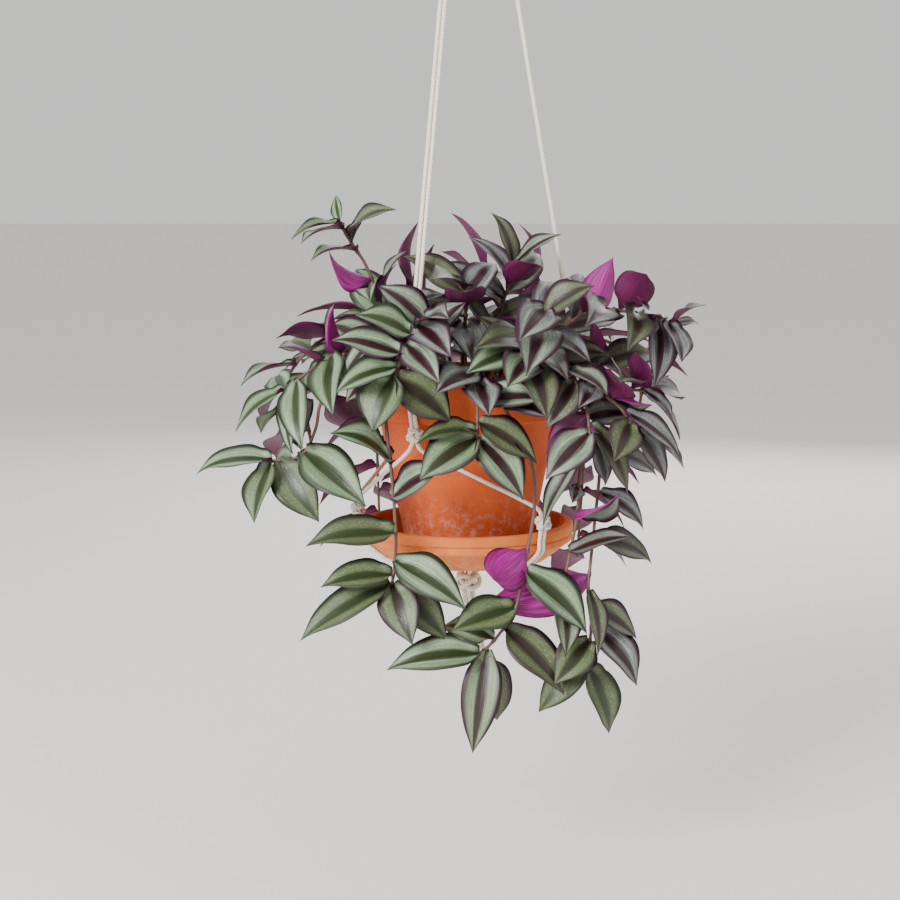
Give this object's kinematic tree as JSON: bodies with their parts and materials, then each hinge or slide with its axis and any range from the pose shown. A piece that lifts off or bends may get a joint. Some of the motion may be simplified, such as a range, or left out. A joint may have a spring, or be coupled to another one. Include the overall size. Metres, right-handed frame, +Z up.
{
  "type": "potted tradescantia in a hanging cord holder",
  "caption": "Trailing inch plant in a terracotta pot and saucer, carried by a knotted cotton cord hanger with a ring at the top.",
  "frame": {"origin": "inside top of the hanging ring, where a hook carries it; the pot's rim is 0.5 m below", "axes": "+Z up, +Y towards the back of the plant, +X to its right seen from the front"},
  "size_m": [0.348, 0.2921, 0.751],
  "materials": {
    "terracotta": "unglazed, matt, with pale mineral bloom",
    "pale_terracotta": "unglazed, matt",
    "compost": "loose and rough",
    "cotton_cord": "plaited, matt",
    "steel_ring": "satin",
    "foliage": "satin, striped silver, green and purple"
  },
  "bodies": {
    "root": {"pot": "terracotta", "saucer": "pale_terracotta", "soil": "compost", "hang_ring": "steel_ring", "gathering_wrap": "cotton_cord", "bottom_knot": "cotton_cord", "upper_knot_front": "cotton_cord", "upper_knot_right": "cotton_cord", "upper_knot_back": "cotton_cord", "lower_knot_front": "cotton_cord", "lower_knot_back": "cotton_cord", "lower_knot_left": "cotton_cord", "cord_1": "cotton_cord", "cord_2": "cotton_cord", "cord_3": "cotton_cord", "cord_4": "cotton_cord", "cord_5": "cotton_cord", "cord_6": "cotton_cord", "vine_upright": "foliage", "vine_top": "foliage", "vine_crown_front": "foliage", "vine_crown_left": "foliage", "vine_crown_middle": "foliage", "vine_crown_low": "foliage", "vine_left": "foliage", "vine_left_low": "foliage", "vine_front_left": "foliage", "vine_front": "foliage", "vine_front_long": "foliage", "vine_right_front": "foliage", "vine_right_trail": "foliage", "vine_right_long": "foliage", "vine_right_crown": "foliage", "vine_right": "foliage", "vine_right_low": "foliage", "vine_side_right": "foliage", "vine_back_right_low": "foliage", "vine_back_right": "foliage", "vine_back_long": "foliage", "vine_back": "foliage", "vine_back_low": "foliage", "vine_back_left": "foliage", "vine_back_left_low": "foliage", "vine_side_left": "foliage", "vine_side_left_low": "foliage", "vine_crown_right": "foliage", "vine_crown_back": "foliage", "vine_crown_back_left": "foliage", "vine_crown_side_left": "foliage"}
  },
  "joints": []
}
